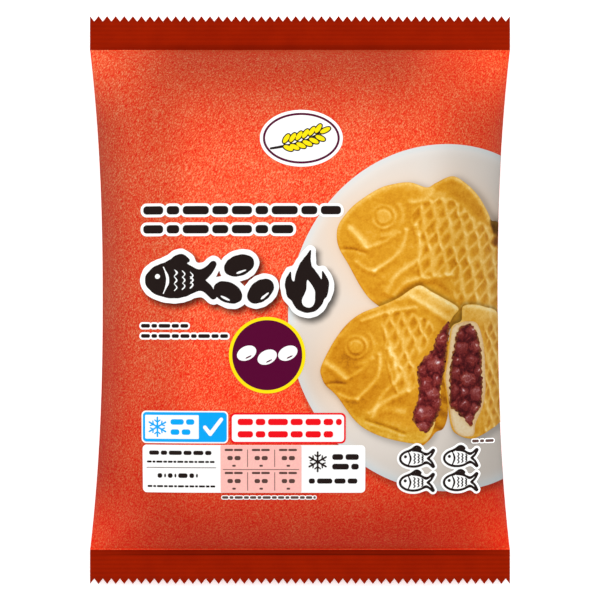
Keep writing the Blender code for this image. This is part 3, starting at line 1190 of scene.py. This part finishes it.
def build_whole_pastry():
    """The whole pastry at the top, with the dark gap behind its tail."""
    def shade(x, y):
        over = union(blob(x + 0.3, y - 0.4, CUT_OUTLINE, 3), blob(x + 0.3, y - 0.4, HALF_OUTLINE, 3))
        gap = smooth_step(-y, 2, 8) * smooth_step(x, 60, 66)
        behind = inside(x, y, TAIL_GAP, 0.7) * (0.2 + 0.8 * smooth_step(y, 28, 32))
        # A painted lift towards the pack's right side, which offsets the film's painted side shade,
        # times the printed shadow along the cut pastry's edge
        edge = (1 + 0.2 * smooth_step(x, 58, 86)) * (1 - 0.42 * ridge(np.clip(over, 0, None), 1.1))
        return edge * (1 - 0.4 * gap) * (1 - 0.7 * behind)

    def values(x, y):
        level = 0.46 - 0.03 * spot(x, y, 79, 44, 8, 7) + 0.06 * spot(x, y, 62, 50, 10, 5)
        level = level + 0.07 * smooth_step(x, 56, 86) - 0.4 * inside(x, y, TAIL_GAP, 0.7)
        bake = 0.92 + 0.08 * smooth_step(60 - x + 0.3 * y, -10, 30)
        return baked(x, y, whole_relief, WHOLE_OUTLINE, level, bake)

    ink("whole_pastry", lambda x, y: blob(x, y, WHOLE_OUTLINE), (15, 95, -13, 58), 3, "crust",
        shadow=shade, values=values)


def ragged(x, y, outline):
    """An outline with the uneven bites of a torn edge."""
    bites = np.sin(1.3 * x + 2.2 * np.sin(0.8 * y)) * np.sin(1.1 * y + 1.5 * np.sin(0.6 * x))
    crumbs = np.sin(3.1 * x + 2.0 * np.sin(1.3 * y)) * np.sin(2.7 * y + 1.4 * np.sin(0.9 * x))
    return blob(x, y, outline) + 0.5 * bites + 0.05 * crumbs


def build_cut_pastry():
    """The two halves of the cut pastry, with the paste between them."""
    def shell_values(x, y):
        return {"light": 0.25 + 0.1 * np.sin(0.9 * y + 0.5 * x), "bake": 0.9}

    def left_values(x, y):
        level = 0.43 + 0.2 * smooth_step(0.5 * x + y, 20, 32) - 0.13 * spot(x, y, 20, -26, 12, 14)
        level = level + 0.1 * spot(x, y, 48, -20, 12, 16) - 0.12 * spot(x, y, 34, -45, 13, 9)
        level = level + 0.06 * smooth_step(-y, 50, 58)
        pale = smooth_step(-blob(x, y, CUT_OUTLINE, 3), 9, 3) * smooth_step(-y, 44, 58)
        return baked(x, y, cut_relief, CUT_OUTLINE, level, 0.95 - 0.6 * pale)

    def half_values(x, y):
        level = 0.54 + 0.1 * smooth_step(y, -12, -6)
        return baked(x, y, half_relief, HALF_OUTLINE, level, 0.92)

    def crumb_values(x, y):
        paste = ridge(blob(x, y, RIGHT_PASTE, 4), 0.9)
        edge = ridge(blob(x, y, CRUMB_OUTLINE, 4), 0.8)
        return {"light": 0.76 - 0.22 * paste - 0.3 * edge}

    def part(name, shape, outline, region, layer, tint, step, values):
        # The shadow factor is a painted lift towards the pack's right side, which offsets the film's
        # painted side shade
        ink(name, lambda x, y: shape(x, y, outline), region, layer, tint, step,
            shadow=lambda x, y: 1 + 0.22 * smooth_step(x, 68, 88), values=values)

    part("lower_shell", blob, SHELL_OUTLINE, (50, 70, -67, -12), 4, "crust", 0.4, shell_values)
    part("left_half", blob, CUT_OUTLINE, (7, 74, -67, 8), 5, "crust", 0.38, left_values)
    part("left_paste", ragged, LEFT_PASTE, (49, 70, -63, -7), 6, "paste", 0.3,
         lambda x, y: paste_values(x, y, LEFT_PASTE, LEFT_BEANS))
    part("right_half", blob, HALF_OUTLINE, (64, 92, -64, 0), 6, "crust", 0.38, half_values)
    part("right_crumb", blob, CRUMB_OUTLINE, (64, 86, -62, -8), 7, "crumb", 0.36, crumb_values)
    part("right_paste", ragged, RIGHT_PASTE, (65, 86, -60, -9), 8, "paste", 0.3,
         lambda x, y: paste_values(x, y, RIGHT_PASTE, RIGHT_BEANS))


# ---------------------------------------------------------------- stage

def build_floor(size=3.0):
    white = (1, 1, 1, 1)
    nodes = Nodes("floor", specular=0.2)
    nodes.shader({"Base Color": white, "Roughness": 0.8, "Emission Color": white,
                  "Emission Strength": 0.42})
    corners = [(-size, -size, 0), (size, -size, 0), (size, size, 0), (-size, size, 0)]
    floor = new_object("floor", corners, [(0, 1, 2, 3)], nodes.material)
    floor.visible_glossy = False


def build_light(name, place, size, power, mirrored):
    data = bpy.data.lights.new(name, "AREA")
    data.shape = "DISK"
    data.size = size
    data.energy = power
    light = bpy.data.objects.new(name, data)
    light.location = place
    light.rotation_euler = (-light.location).to_track_quat("-Z", "Y").to_euler()
    light.visible_glossy = mirrored
    bpy.context.scene.collection.objects.link(light)


def build_world(strength):
    world = bpy.data.worlds.new("world")
    world.use_nodes = True
    background = world.node_tree.nodes["Background"]
    background.inputs["Color"].default_value = (1, 1, 1, 1)
    background.inputs["Strength"].default_value = strength
    bpy.context.scene.world = world
    world.cycles_visibility.glossy = False


def build_camera():
    """Looks straight down on the print, from far away."""
    data = bpy.data.cameras.new("camera")
    data.lens = 200
    data.sensor_width = 36
    seen_width = 271.5 * MM
    distance = seen_width * data.lens / data.sensor_width
    camera = bpy.data.objects.new("camera", data)
    camera.location = (0, 0, SEAL_PLANE + distance)
    bpy.context.scene.collection.objects.link(camera)
    bpy.context.scene.camera = camera


def build_stage():
    build_floor()
    build_light("key", (0.0, 0.35, 2.2), 1.2, 36.5, False)
    build_light("left", (-1.3, 0.5, 0.9), 0.7, 1.6, False)
    build_light("right", (1.3, 0.3, 1.0), 0.7, 1.6, False)
    build_light("front_low", (-1.1, -1.1, 0.6), 0.6, 2.0, True)
    build_light("back_low", (1.1, 1.1, 0.45), 0.6, 2.0, True)
    build_world(0.3)
    build_camera()
    bpy.context.scene.view_settings.view_transform = "Standard"


def main():
    build_film("front_film", 1, 220, 260)
    build_film("back_film", -1, 160, 180)
    build_seal("top_seal", 1)
    build_seal("bottom_seal", -1)
    build_back_seam()
    ink("plate", plate_field, (-7, 95, -88, 73), 2, "china", 0.9, shadow=plate_tone,
        values=plate_values)
    build_whole_pastry()
    build_cut_pastry()
    build_fold_highlight()
    build_title()
    build_words()
    build_emblem()
    build_flavour_disc()
    build_thaw_badge()
    build_heating_panel()
    build_info_panel()
    build_count()
    build_back_print()
    build_stage()


main()
